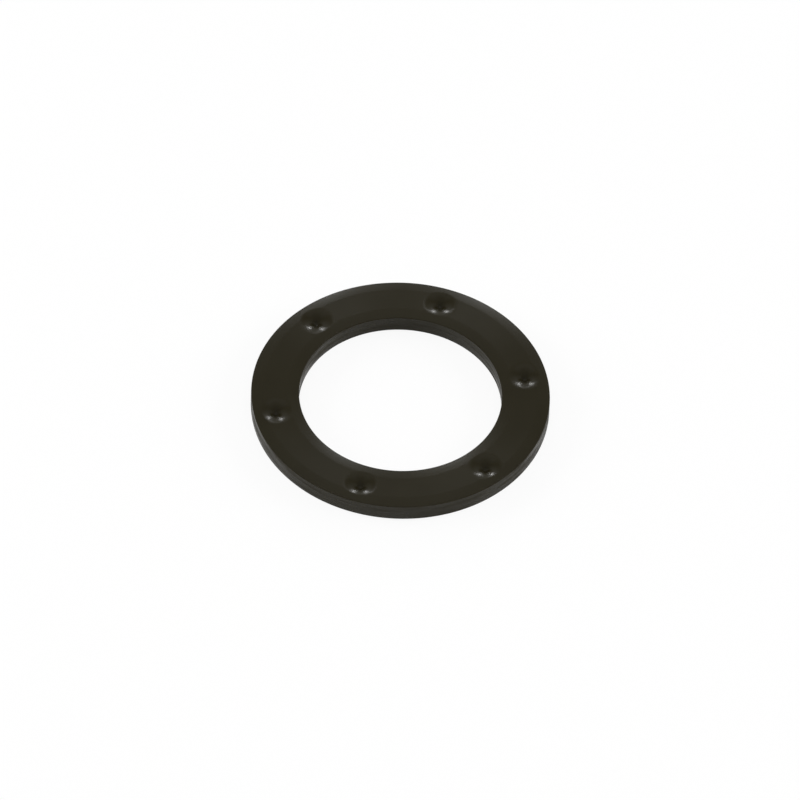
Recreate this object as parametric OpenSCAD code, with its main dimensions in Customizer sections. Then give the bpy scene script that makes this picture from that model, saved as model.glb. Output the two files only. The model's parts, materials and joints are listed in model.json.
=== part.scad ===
// Flat sealing ring, moulded in one piece from black rubber.
// The ring lies on its lower face, with the bore's axis on Z and the floor at Z = 0.
// Both faces slope away softly along their edges, and the upper face carries a ring of round dimples.

/* [Ring] */
// Diameter of the outer rim
outer_d = 28; // [26:0.5:44]
// Diameter of the bore
bore_d = 19; // [12:0.5:20]
// Thickness between the two faces
thickness = 2; // [1.6:0.1:4]

/* [Edges] */
// Width of the soft slope along each edge of a face
slope_w = 1.1; // [0.7:0.05:1.4]
// Angle in degrees at which the slope leaves the level face
slope_start = 4.5; // [2:0.5:6]
// Angle in degrees that the slope has reached at the edge
slope_end = 10.5; // [8:0.5:14]
// Radius of the small round on each edge
edge_r = 0.1; // [0.05:0.01:0.2]

/* [Dimples] */
// Number of dimples around the ring
dimple_count = 6; // [3:1:8]
// Diameter of a dimple where its lip meets the face
dimple_mouth_d = 3.4; // [3.3:0.1:3.6]
// Depth of a dimple below the face
dimple_depth = 0.68; // [0.4:0.02:0.74]
// Radius of the rounded lip
dimple_lip_r = 2.2; // [1.6:0.1:2.3]
// Angle in degrees at which the lip leaves the face
dimple_lip_angle = 2; // [1:1:6]
// Distance of the dimple circle outside the middle of the band
dimple_shift = 0.15; // [-0.2:0.05:0.25]

/* [Hidden] */
// Facets of small rounds, of the ring itself and of the wide arcs of its faces
$fn = 96;
ring_fn = 180;
wide_fn = 360;
rubber_black = "#2f2b24";

outer_r = outer_d / 2;
bore_r = bore_d / 2;
middle_r = (outer_r + bore_r) / 2;

// A cutting shape reaches past the surface that it cuts by the thickness of the ring
reach = thickness;
// Overlap that lets two arcs which only touch cut each other cleanly
bite = 0.0002;

// The slope is an arc that steepens from its start angle to its end angle over its width.
// Its centre is measured inwards from the wall and down from the face.
slope_r = slope_w / (sin(slope_end) - sin(slope_start));
slope_in = slope_w + slope_r * sin(slope_start);
slope_down = slope_r * cos(slope_start);

// The edge round touches both the slope and the upright wall.
// Its centre is measured from the corner where wall and face would meet.
edge_up = sqrt(pow(slope_r - edge_r, 2) - pow(slope_in - edge_r, 2));
edge_z = edge_up - slope_down;
edge_lean = atan2(slope_in - edge_r, edge_up);

// A dimple is a ball-shaped bottom that runs smoothly into a rounded lip
lip_x = dimple_mouth_d / 2 + dimple_lip_r * sin(dimple_lip_angle);
lip_z = -dimple_lip_r * cos(dimple_lip_angle);
lip_over_bottom = -lip_z - dimple_depth;
ball_r = (pow(lip_over_bottom, 2) + pow(lip_x, 2) - pow(dimple_lip_r, 2))
    / (2 * (dimple_lip_r - lip_over_bottom));
wall_slope = asin(lip_x / (ball_r + dimple_lip_r));
meet_z = ball_r * (1 - cos(wall_slope)) - dimple_depth;

// What the slope and the edge round take off a corner of the section.
// The sharp corner is at the origin, with the ring to its lower left.
module corner_cut() {
    difference() {
        translate([-slope_in, -reach]) square([slope_in + reach, 2 * reach]);
        translate([-slope_in, -slope_down]) circle(r = slope_r, $fn = wide_fn);
    }
    translate([-edge_r, edge_z]) difference() {
        polygon([
            [0, 0],
            [reach, 0],
            [reach, reach],
            [reach * tan(edge_lean), reach],
        ]);
        circle(r = edge_r + bite);
    }
}

// Half of the ring's cross-section
module section() {
    difference() {
        translate([bore_r, 0]) square([outer_r - bore_r, thickness]);
        translate([outer_r, thickness]) corner_cut();
        translate([outer_r, 0]) mirror([0, 1]) corner_cut();
        translate([bore_r, thickness]) mirror([1, 0]) corner_cut();
        translate([bore_r, 0]) rotate(180) corner_cut();
    }
}

// The hollow of one dimple, with the face at Z = 0
module dimple() {
    rotate_extrude() {
        difference() {
            translate([0, meet_z]) square([lip_x, reach - meet_z]);
            translate([lip_x, lip_z]) circle(r = dimple_lip_r);
        }
        translate([0, ball_r - dimple_depth]) intersection() {
            circle(r = ball_r + bite);
            translate([0, -ball_r - reach]) square(ball_r + reach);
        }
    }
}

module sealing_ring() {
    color(rubber_black) difference() {
        rotate_extrude($fn = ring_fn) section();
        for (i = [0 : dimple_count - 1])
            rotate(i * 360 / dimple_count)
                translate([middle_r + dimple_shift, 0, thickness]) dimple();
    }
}

sealing_ring();
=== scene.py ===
# %% [markdown]
# # A moulded rubber sealing ring
# The ring is one piece of black nitrile rubber, pressed in a steel mould. It is flat, its faces slope
# away softly towards their edges, and its upper face carries six small round dimples.
# The imported CAD model is loaded first, because the ring's outer radius, bore and thickness are measured
# from it.

# %% Load the imported model
import json
import math

import bmesh
import bpy
from mathutils import Matrix, Vector


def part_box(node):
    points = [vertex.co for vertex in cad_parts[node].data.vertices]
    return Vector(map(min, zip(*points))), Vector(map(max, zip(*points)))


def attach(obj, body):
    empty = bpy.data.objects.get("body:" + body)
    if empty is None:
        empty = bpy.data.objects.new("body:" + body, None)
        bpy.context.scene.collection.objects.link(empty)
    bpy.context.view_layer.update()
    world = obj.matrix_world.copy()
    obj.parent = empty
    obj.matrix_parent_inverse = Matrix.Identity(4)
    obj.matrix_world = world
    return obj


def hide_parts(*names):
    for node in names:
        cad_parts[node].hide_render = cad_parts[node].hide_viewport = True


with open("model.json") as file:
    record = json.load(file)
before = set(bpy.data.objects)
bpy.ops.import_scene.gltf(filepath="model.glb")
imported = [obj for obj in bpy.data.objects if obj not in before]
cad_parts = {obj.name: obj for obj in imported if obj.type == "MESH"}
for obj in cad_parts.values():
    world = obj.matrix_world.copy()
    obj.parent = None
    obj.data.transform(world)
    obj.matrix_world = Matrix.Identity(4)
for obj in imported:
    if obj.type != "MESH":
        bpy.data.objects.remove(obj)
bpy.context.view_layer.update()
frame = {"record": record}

MM = 0.001

# %% [markdown]
# ## The ring's sizes
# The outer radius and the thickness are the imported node's own box, and the bore is a mount in the
# record. The finer sizes of the edges and dimples are the ones that the ring was designed with.

# %% Measure the ring
ring_low, ring_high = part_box("sealing_ring")
bore = next(m for m in frame["record"]["mounts"] if m["name"] == "bore")
outer_r = ring_high.x
bore_r = bore["dims"]["r_mm"] * MM
thickness = ring_high.z
half_t = thickness / 2
print(f"ring {outer_r / MM:.2f} x {bore_r / MM:.2f} mm radius, {thickness / MM:.2f} mm thick")

# %% Sizes of the edges and dimples
slope_w = 1.1 * MM
slope_start = math.radians(4.5)
slope_end = math.radians(10.5)
edge_r = 0.1 * MM
dimple_count = 6
dimple_shift = 0.15 * MM
dimple_circle_r = (outer_r + bore_r) / 2 + dimple_shift
dimple_mouth_r = 1.7 * MM
dimple_depth = 0.68 * MM
lip_r = 2.2 * MM
lip_angle = math.radians(2)
print(f"{dimple_count} dimples on a circle of {dimple_circle_r / MM:.2f} mm radius")

# %% [markdown]
# ## The section, drawn by one walking vertex
# A turned or moulded ring is a flat outline carried round an axis. The outline could be typed in as
# a list of points, but here one vertex walks along it: straight runs are extruded, and round
# stretches are spun about the centre of their arc, so each arc has its true centre and radius.

# %% Helpers that walk a vertex along a straight run or an arc
def walk_straight(mesh, start, dx, dz, parts):
    """Extrudes a vertex along a straight run in equal parts and gives the last vertex."""
    for _ in range(parts):
        made = bmesh.ops.extrude_vert_indiv(mesh, verts=[start])["verts"]
        bmesh.ops.translate(mesh, verts=made, vec=(dx / parts, 0, dz / parts))
        start = made[0]
    return start


def walk_arc(mesh, start, centre, angle, parts):
    """Spins a vertex about a centre in the XZ plane and gives the last vertex."""
    made = bmesh.ops.spin(mesh, geom=[start], cent=centre, axis=(0, -1, 0), angle=angle, steps=parts)
    return next(v for v in made["geom_last"] if isinstance(v, bmesh.types.BMVert))


# %% [markdown]
# Along each edge the face first bends into a wide, shallow slope, and a small round then turns the
# corner into the upright wall. A bevel could round the corner alone, but not the slope before it, so
# the centres of both arcs are worked out from the rule that they touch without a kink.

# %% Work out where the arcs of an edge meet
slope_r = slope_w / (math.sin(slope_end) - math.sin(slope_start))
slope_in = slope_w + slope_r * math.sin(slope_start)
slope_z = half_t - slope_r * math.cos(slope_start)
edge_up = math.sqrt((slope_r - edge_r)**2 - (slope_in - edge_r)**2)
edge_lean = math.atan2(slope_in - edge_r, edge_up)
edge_z = slope_z + edge_up
print(f"slope radius {slope_r / MM:.2f} mm, edge round starts at {math.degrees(edge_lean):.1f} degrees")

# %% [markdown]
# The lower half of the section is the upper half upside down. Both are walked in the same way, with
# finer steps above, where the dimples need a dense grid, and the lower one is then flipped.


# %% Walk round both halves of the section
def walk_half(mesh, start, fine):
    """Walks from the middle of the rim over one face to the middle of the bore; fine sets the steps."""
    here = walk_straight(mesh, start, 0, edge_z, 2)
    here = walk_arc(mesh, here, (outer_r - edge_r, 0, edge_z), math.pi / 2 - edge_lean, 3 + fine)
    here = walk_arc(mesh, here, (outer_r - slope_in, 0, slope_z), edge_lean - slope_start, 4 * fine)
    here = walk_straight(mesh, here, 2 * slope_w - (outer_r - bore_r), 0, 9 * fine)
    here = walk_arc(mesh, here, (bore_r + slope_in, 0, slope_z), edge_lean - slope_start, 4 * fine)
    here = walk_arc(mesh, here, (bore_r + edge_r, 0, edge_z), math.pi / 2 - edge_lean, 3 + fine)
    return walk_straight(mesh, here, 0, -edge_z, 2)


touching = 0.001 * MM
ring_mesh = bmesh.new()
walk_half(ring_mesh, ring_mesh.verts.new((outer_r, 0, 0)), fine=3)
upper = ring_mesh.verts[:]
walk_half(ring_mesh, ring_mesh.verts.new((outer_r, 0, 0)), fine=1)
lower = ring_mesh.verts[len(upper):]
bmesh.ops.scale(ring_mesh, verts=lower, vec=(1, 1, -1))
bmesh.ops.remove_doubles(ring_mesh, verts=ring_mesh.verts, dist=touching)
bmesh.ops.translate(ring_mesh, verts=ring_mesh.verts, vec=(0, 0, half_t))
print("section:", len(ring_mesh.verts), "vertices in one closed loop of", len(ring_mesh.edges), "edges")

# %% [markdown]
# ## One sixth of the ring
# The ring repeats itself six times, so one sixth is made first, with a dimple in its middle. A spin
# about Z carries the section from one side of the dimple to the other. One spin of the whole ring
# would do too, but a spin gets slow with many steps, and copies are quick.

# %% Spin one sixth
sector = math.tau / dimple_count
sector_steps = 140
to_start = Matrix.Rotation(-sector / 2, 3, "Z")
bmesh.ops.rotate(ring_mesh, verts=ring_mesh.verts, cent=(0, 0, 0), matrix=to_start)
bmesh.ops.spin(
    ring_mesh, geom=ring_mesh.verts[:] + ring_mesh.edges[:], cent=(0, 0, 0), axis=(0, 0, 1),
    angle=sector, steps=sector_steps,
)
print("one sixth:", len(ring_mesh.faces), "faces")

# %% [markdown]
# ## The dimple
# A dimple is a small ball-shaped bottom that runs into a wide rounded lip, so wide that a lamp draws
# a round glint on it. A boolean cut would leave long thin faces that shade badly, so the fine grid of
# the upper face is pressed down instead, vertex by vertex, to the depth that the two arcs give at its
# distance from the dimple's axis.

# %% Work out the dimple's two arcs
lip_x = dimple_mouth_r + lip_r * math.sin(lip_angle)
lip_z = -lip_r * math.cos(lip_angle)
lip_over_bottom = -lip_z - dimple_depth
ball_r = (lip_over_bottom**2 + lip_x**2 - lip_r**2) / (2 * (lip_r - lip_over_bottom))
meet_x = ball_r * lip_x / (ball_r + lip_r)
print(f"dimple: ball radius {ball_r / MM:.3f} mm, lip from {meet_x / MM:.3f} mm outwards")


def dimple_height(distance):
    """Height of a dimple's surface over the face, at a distance from the dimple's axis."""
    if distance < meet_x:
        return ball_r - dimple_depth - math.sqrt(ball_r**2 - distance**2)
    return lip_z + math.sqrt(lip_r**2 - (lip_x - distance)**2)


# %% Press the dimple into the upper face
pressed = 0
for v in ring_mesh.verts:
    distance = math.hypot(v.co.x - dimple_circle_r, v.co.y)
    if v.co.z > half_t and distance < dimple_mouth_r:
        v.co.z = min(v.co.z, thickness + dimple_height(distance))
        pressed += 1
print("dimple:", pressed, "vertices pressed")

# %% [markdown]
# ## Six sixths
# Five turned copies close the ring. Their seams are merged, and the normals are recalculated after
# that, because a spin can leave a shape inside out.

# %% Copy the sixth and close the ring
first = ring_mesh.verts[:] + ring_mesh.edges[:] + ring_mesh.faces[:]
for i in range(1, dimple_count):
    made = bmesh.ops.duplicate(ring_mesh, geom=first)["geom"]
    verts = [g for g in made if isinstance(g, bmesh.types.BMVert)]
    bmesh.ops.rotate(ring_mesh, verts=verts, cent=(0, 0, 0), matrix=Matrix.Rotation(i * sector, 3, "Z"))
bmesh.ops.remove_doubles(ring_mesh, verts=ring_mesh.verts, dist=touching)
bmesh.ops.recalc_face_normals(ring_mesh, faces=ring_mesh.faces)
for face in ring_mesh.faces:
    face.smooth = True
print("ring:", len(ring_mesh.faces), "faces, open edges:", sum(e.is_boundary for e in ring_mesh.edges))

# %% [markdown]
# ## Which way the tool marks run
# The mould's flat faces were turned on a lathe, and so were the pins that form the dimples. The fine
# marks that turning leaves run round the ring on the faces and round each dimple in the dimples, and
# they stretch a highlight across themselves. They are far too fine to model, so every vertex keeps the
# direction across its marks for the material, and a number that grows from 0 to 1 down the lip, where
# the face's finish gives way to the smoother one of the pins.


# %% Helper for the direction across turned marks
def across(from_axis, normal):
    """Direction along a surface that crosses marks turned round an upright axis."""
    return Vector((0, 0, 1)).cross(from_axis).cross(normal).normalized()


# %% Store the marks on the vertices
finish_start_r = dimple_mouth_r - 0.15 * MM
finish_fade = 0.35 * MM
across_marks = ring_mesh.verts.layers.float_vector.new("across_marks")
in_dimple = ring_mesh.verts.layers.float.new("in_dimple")
ring_mesh.normal_update()
for v in ring_mesh.verts:
    turn = sector * round(math.atan2(v.co.y, v.co.x) / sector)
    off_centre = v.co - Vector((math.cos(turn), math.sin(turn), 0)) * dimple_circle_r
    inwards = (finish_start_r - off_centre.xy.length) / finish_fade if v.co.z > half_t else 0
    v[in_dimple] = min(max(inwards, 0), 1)
    ring_way = across(v.co, v.normal)
    dimple_way = across(off_centre, v.normal)
    if ring_way.dot(dimple_way) < 0:
        dimple_way.negate()
    v[across_marks] = ring_way.lerp(dimple_way, v[in_dimple]).normalized()
print("vertices in dimples:", sum(v[in_dimple] > 0 for v in ring_mesh.verts))

# %% [markdown]
# The finished mesh becomes an object at the origin. It stands for the CAD node, which is hidden, and rides
# on the root body.

# %% Make the ring an object that stands for the CAD node
ring_data = bpy.data.meshes.new("moulded_ring")
ring_mesh.to_mesh(ring_data)
ring_mesh.free()
ring = bpy.data.objects.new("moulded_ring", ring_data)
bpy.context.scene.collection.objects.link(ring)
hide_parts("sealing_ring")
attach(ring, "root")
print("triangles:", sum(len(p.vertices) - 2 for p in ring_data.polygons))

# %% [markdown]
# ## Materials
# Colours are written as they look on a screen, in sRGB hex, and one function turns them to the linear
# values that the shader works with. A second small function adds any node with its settings and links,
# a third adds the ramps that much of the look below is made of, and a fourth starts a new material.


# %% Helpers for colours and nodes
def hex_colour(code):
    """Linear colour with full alpha from an sRGB hex code."""
    parts = [int(code[i:i + 2], 16) / 255 for i in (1, 3, 5)]
    return (*[p / 12.92 if p <= 0.04045 else ((p + 0.055) / 1.055)**2.4 for p in parts], 1.0)


def add(tree, kind, inputs=None, **settings):
    """Adds a node, sets its properties, and links or sets its inputs."""
    made = tree.nodes.new("ShaderNode" + kind)
    for name, value in settings.items():
        setattr(made, name, value)
    for name, value in (inputs or {}).items():
        if isinstance(value, bpy.types.NodeSocket):
            tree.links.new(value, made.inputs[name])
        else:
            made.inputs[name].default_value = value
    return made


def ramp(tree, value, start, end, first=0.0, last=1.0, **settings):
    """Output that runs from first to last while a value runs from start to end, and no further."""
    sockets = {0: value, 1: start, 2: end, 3: first, 4: last}
    return add(tree, "MapRange", sockets, **settings).outputs[0]


def new_material(name):
    """An empty node material and its output node."""
    made = bpy.data.materials.new(name)
    made.use_nodes = True
    made.node_tree.nodes.clear()
    return made, made.node_tree, made.node_tree.nodes.new("ShaderNodeOutputMaterial")


# %% [markdown]
# ## Moulded black nitrile rubber
# Carbon black makes nitrile rubber almost black, and oils in the mix warm it to an olive brown. Its
# moulded skin is satin: it shows soft reflections and no clear ones.
# The texture coordinates are turned into millimetres first, so that every scale below is a real one,
# and the distance from the axis tells the two upright walls from the faces.

# %% Where on the ring a point is
rubber, tree, output = new_material("moulded black nitrile rubber")
where = add(tree, "TexCoord").outputs["Object"]
spot = add(tree, "VectorMath", {0: where, "Scale": 1 / MM}, operation="SCALE").outputs[0]
flat = add(tree, "VectorMath", {0: spot, 1: (1, 1, 0)}, operation="MULTIPLY").outputs[0]
radius = add(tree, "VectorMath", {0: flat}, operation="LENGTH").outputs["Value"]
wall_from, wall_full = edge_r, 0.4 * edge_r
bore_wall = ramp(tree, radius, (bore_r + wall_from) / MM, (bore_r + wall_full) / MM)
rim_wall = ramp(tree, radius, (outer_r - wall_from) / MM, (outer_r - wall_full) / MM)
walls = add(tree, "Math", {0: bore_wall, 1: rim_wall}, operation="ADD").outputs[0]
print(f"walls: the last {wall_from / MM:.2f} mm at bore and rim")

# %% [markdown]
# Oils that bloom out of the rubber leave blotches about 3 mm across, a shade lighter and duller than
# the rest. A painted image could hold them, but a noise needs no file and has no seam. The Mix node
# takes its two colours in sockets 6 and 7 and gives their mixture in output 2.

# %% Mottled colour and roughness
blotches_per_mm = 0.35
cloud = add(tree, "TexNoise", {"Vector": spot, "Scale": blotches_per_mm, "Detail": 3.0}).outputs["Fac"]
dark_olive, light_olive = hex_colour("#1e1a09"), hex_colour("#221e0d")
colour = add(tree, "Mix", {0: cloud, 6: dark_olive, 7: light_olive}, data_type="RGBA").outputs[2]
face_rough = ramp(tree, cloud, 0.0, 1.0, first=0.33, last=0.39)
print(f"blotches of {1 / blotches_per_mm:.1f} mm")

# %% [markdown]
# The walls of the mould leave lines that run round the ring. Real ones are hundredths of a millimetre
# high and would not show, so they are drawn 0.4 mm high and 4 mm long, as a noise that is squeezed
# upright. They change how dull the wall is, because a bump alone shows little beside a plain floor.

# %% Lines round the walls
line_length, line_height = 4.0, 0.4
squeeze = (1 / line_length, 1 / line_length, 1 / line_height)
along = add(tree, "VectorMath", {0: spot, 1: squeeze}, operation="MULTIPLY").outputs[0]
lines = add(tree, "TexNoise", {"Vector": along, "Scale": 1.0, "Detail": 2.0}).outputs["Fac"]
wall_rough = ramp(tree, lines, 0.38, 0.62, first=0.22, last=0.5)
print(f"wall lines {line_height} mm high and {line_length} mm long")

# %% [markdown]
# The pins that form the dimples are polished better than the faces, so the dimples are a little
# smoother and gather the lamps into glints.

# %% Roughness of faces, walls and dimples
dimple = add(tree, "Attribute", attribute_name="in_dimple").outputs["Fac"]
with_walls = add(tree, "Mix", {0: walls, 2: face_rough, 3: wall_rough}).outputs[0]
dimple_rough = 0.28
roughness = add(tree, "Mix", {0: dimple, 2: with_walls, 3: dimple_rough}).outputs[0]
print("roughness in the dimples:", dimple_rough)

# %% [markdown]
# A fine grain, left by the blasted mould, breaks up the reflections a little. Real grain is a few
# hundredths of a millimetre wide, and is drawn a quarter of a millimetre wide so that it shows at all.
# It stands out by about a thousandth of a millimetre, and the lines on the walls by twenty times that.
# Both are too low to model, so a bump does.

# %% Grain of the skin
grain_size = 0.25
grain_height = 0.0012 * MM
lines_over_grain = 20.0
grain = add(tree, "TexNoise", {"Vector": spot, "Scale": 1 / grain_size, "Detail": 2.0}).outputs["Fac"]
wall_lines = add(tree, "Math", {0: lines, 1: walls}, operation="MULTIPLY").outputs[0]
relief = add(tree, "Math", {
    0: wall_lines, 1: lines_over_grain, 2: grain,
}, operation="MULTIPLY_ADD").outputs[0]
bumped = add(tree, "Bump", {"Height": relief, "Distance": grain_height, "Strength": 1.0}).outputs[0]
print(f"grain {grain_size} mm wide")

# %% [markdown]
# Solid nitrile rubber has an IOR near 1.5. Its dusty skin reflects less than that, so the value is
# lowered until the faces are as dark as the real ones. The anisotropy follows the turning marks: the
# tangent points across them, because Blender stretches a highlight along the tangent.

# %% Rubber shader
tangent = add(tree, "Attribute", attribute_name="across_marks").outputs["Vector"]
shader = add(tree, "BsdfPrincipled", {
    "Base Color": colour,
    "Roughness": roughness,
    "IOR": 1.37,
    "Normal": bumped,
    "Anisotropic": 0.6,
    "Tangent": tangent,
})
tree.links.new(shader.outputs["BSDF"], output.inputs["Surface"])
ring_data.materials.append(rubber)
print("material:", rubber.name)

# %% [markdown]
# ## Floor
# The ring lies on plain white paper. A lamp bright enough to make the paper white would flood the
# ring, so rays from the camera see nine tenths of the paper as a glow of its own. The last tenth is
# lit paper and keeps the ring's shadow. Mirror-like rays see a tenth of the glow.

# %% Floor
floor_half_width = 3.0
floor_mesh = bmesh.new()
bmesh.ops.create_grid(floor_mesh, x_segments=1, y_segments=1, size=floor_half_width)
floor_data = bpy.data.meshes.new("floor")
floor_mesh.to_mesh(floor_data)
floor_mesh.free()
floor = bpy.data.objects.new("floor", floor_data)
bpy.context.scene.collection.objects.link(floor)
print("floor:", len(floor_data.polygons), "face,", len(floor_data.vertices), "corners")

# %% White paper
white_paper, tree, output = new_material("white paper")
path = add(tree, "LightPath").outputs
glossy, through = path["Is Glossy Ray"], path["Is Transmission Ray"]
mirrored = add(tree, "Math", {0: glossy, 1: through}, operation="ADD").outputs[0]
faint = add(tree, "Math", {0: mirrored, 1: 0.1}, operation="MULTIPLY").outputs[0]
seen = add(tree, "Math", {0: path["Is Camera Ray"], 1: 0.9, 2: faint}, operation="MULTIPLY_ADD").outputs[0]
paper = add(tree, "BsdfDiffuse", {"Color": hex_colour("#fafafa")}).outputs[0]
glow = add(tree, "Emission", {"Strength": 1.0}).outputs[0]
surface = add(tree, "MixShader", {0: seen, 1: paper, 2: glow}).outputs[0]
tree.links.new(surface, output.inputs["Surface"])
floor_data.materials.append(white_paper)
print("material:", white_paper.name)

# %% [markdown]
# ## Camera
# The camera stands far off with a long lens, as for a catalogue picture, so the ring shows almost no
# perspective. It is placed by two angles and a roll, which is easier to match to a picture than a
# position and a rotation would be.

# %% Camera
camera_azimuth = math.radians(-13.537)
camera_elevation = math.radians(48.76)
camera_roll = math.radians(2.403)
camera_distance = 1.3317
aim_right = -0.055 * MM
aim_up = -0.664 * MM


def direction(azimuth, elevation):
    """Unit vector from the ring towards a place round it; azimuth 0 is at -Y."""
    level = math.cos(elevation)
    return Vector((math.sin(azimuth) * level, -math.cos(azimuth) * level, math.sin(elevation)))


back = direction(camera_azimuth, camera_elevation)
turned = (-back).to_track_quat("-Z", "Y").to_matrix() @ Matrix.Rotation(camera_roll, 3, "Z")
camera_data = bpy.data.cameras.new("camera")
camera_data.lens = 640
camera_data.sensor_width = 36
camera_data.clip_end = 20
camera = bpy.data.objects.new("camera", camera_data)
aim = Vector((0, 0, thickness)) + turned.col[0] * aim_right + turned.col[1] * aim_up
camera.matrix_world = Matrix.Translation(aim + back * camera_distance) @ turned.to_4x4()
bpy.context.scene.collection.objects.link(camera)
bpy.context.scene.camera = camera
bpy.context.scene.view_settings.view_transform = "Standard"
print(f"camera {camera_distance} m away, {math.degrees(camera_elevation):.1f} degrees up")

# %% [markdown]
# ## Light
# A soft box over the camera and two low ones at the sides give the rubber its even tone, and two
# narrow upright lamps behind the ring draw a pair of glints on the near lip of each dimple. The soft
# boxes are hidden from mirror-like rays, so that no square of light lies on the satin faces.

# %% Lamps
lamp_distance = 0.7


def lamp(name, bearing, elevation, width, height, power):
    """A rectangular lamp that faces the ring; bearing is measured from the camera's side."""
    data = bpy.data.lights.new(name, "AREA")
    data.shape = "RECTANGLE"
    data.size = width
    data.size_y = height
    data.energy = power
    made = bpy.data.objects.new(name, data)
    out = direction(camera_azimuth + math.radians(bearing), math.radians(elevation))
    facing = out.to_track_quat("Z", "Y").to_matrix().to_4x4()
    made.matrix_world = Matrix.Translation(out * lamp_distance) @ facing
    bpy.context.scene.collection.objects.link(made)
    return made


boxes = [lamp("soft_box_front", bearing=0, elevation=60, width=0.6, height=0.6, power=1.35)]
for side, word in ((-1, "left"), (1, "right")):
    boxes.append(lamp(f"soft_box_{word}", side * 97, elevation=22, width=0.5, height=0.35, power=3.2))
    lamp(f"glint_lamp_{word}", 180 + side * 10.7, elevation=18, width=0.03, height=0.18, power=0.46)
for box in boxes:
    box.visible_glossy = False
print("soft boxes:", [box.name for box in boxes])

# %% [markdown]
# ## Studio round the ring
# A black ring shows mostly what it reflects, so the world is a plain grey studio. Behind the ring it
# is light low down, like a backdrop, darker half way up, where the level faces look, and lightest
# high up. In front it is one even grey. An image of a studio could do this too, but a few ramps over
# height and direction are easier to adjust. The camera itself sees plain white.

# %% World
world = bpy.data.worlds.new("studio")
bpy.context.scene.world = world
world.use_nodes = True
tree = world.node_tree
tree.nodes.clear()
towards = add(tree, "TexCoord").outputs["Generated"]
height = add(tree, "SeparateXYZ", {0: towards}).outputs["Z"]
behind = direction(camera_azimuth + math.pi, 0)
share = add(tree, "VectorMath", {0: towards, 1: behind}, operation="DOT_PRODUCT").outputs["Value"]
backness = ramp(tree, share, -0.25, 0.3, interpolation_type="SMOOTHSTEP")
backdrop = ramp(tree, height, 0.45, 0.8, first=0.4, last=0.16)
ceiling = ramp(tree, height, 0.76, 0.9, first=0.0, last=0.45)
rear = add(tree, "Math", {0: backdrop, 1: ceiling}, operation="ADD").outputs[0]
front_grey = 0.26
strength = add(tree, "Mix", {0: backness, 2: front_grey, 3: rear}).outputs[0]
room = add(tree, "Background", {"Color": (1, 1, 1, 1), "Strength": strength}).outputs[0]
white = add(tree, "Background", {"Color": (1, 1, 1, 1), "Strength": 1.0}).outputs[0]
seen = add(tree, "LightPath").outputs["Is Camera Ray"]
mixed = add(tree, "MixShader", {0: seen, 1: room, 2: white}).outputs[0]
tree.links.new(mixed, tree.nodes.new("ShaderNodeOutputWorld").inputs["Surface"])
print("world:", world.name, "with", len(tree.nodes), "nodes")

# %% [markdown]
# ## Finish

# %% Finish
bpy.context.view_layer.update()
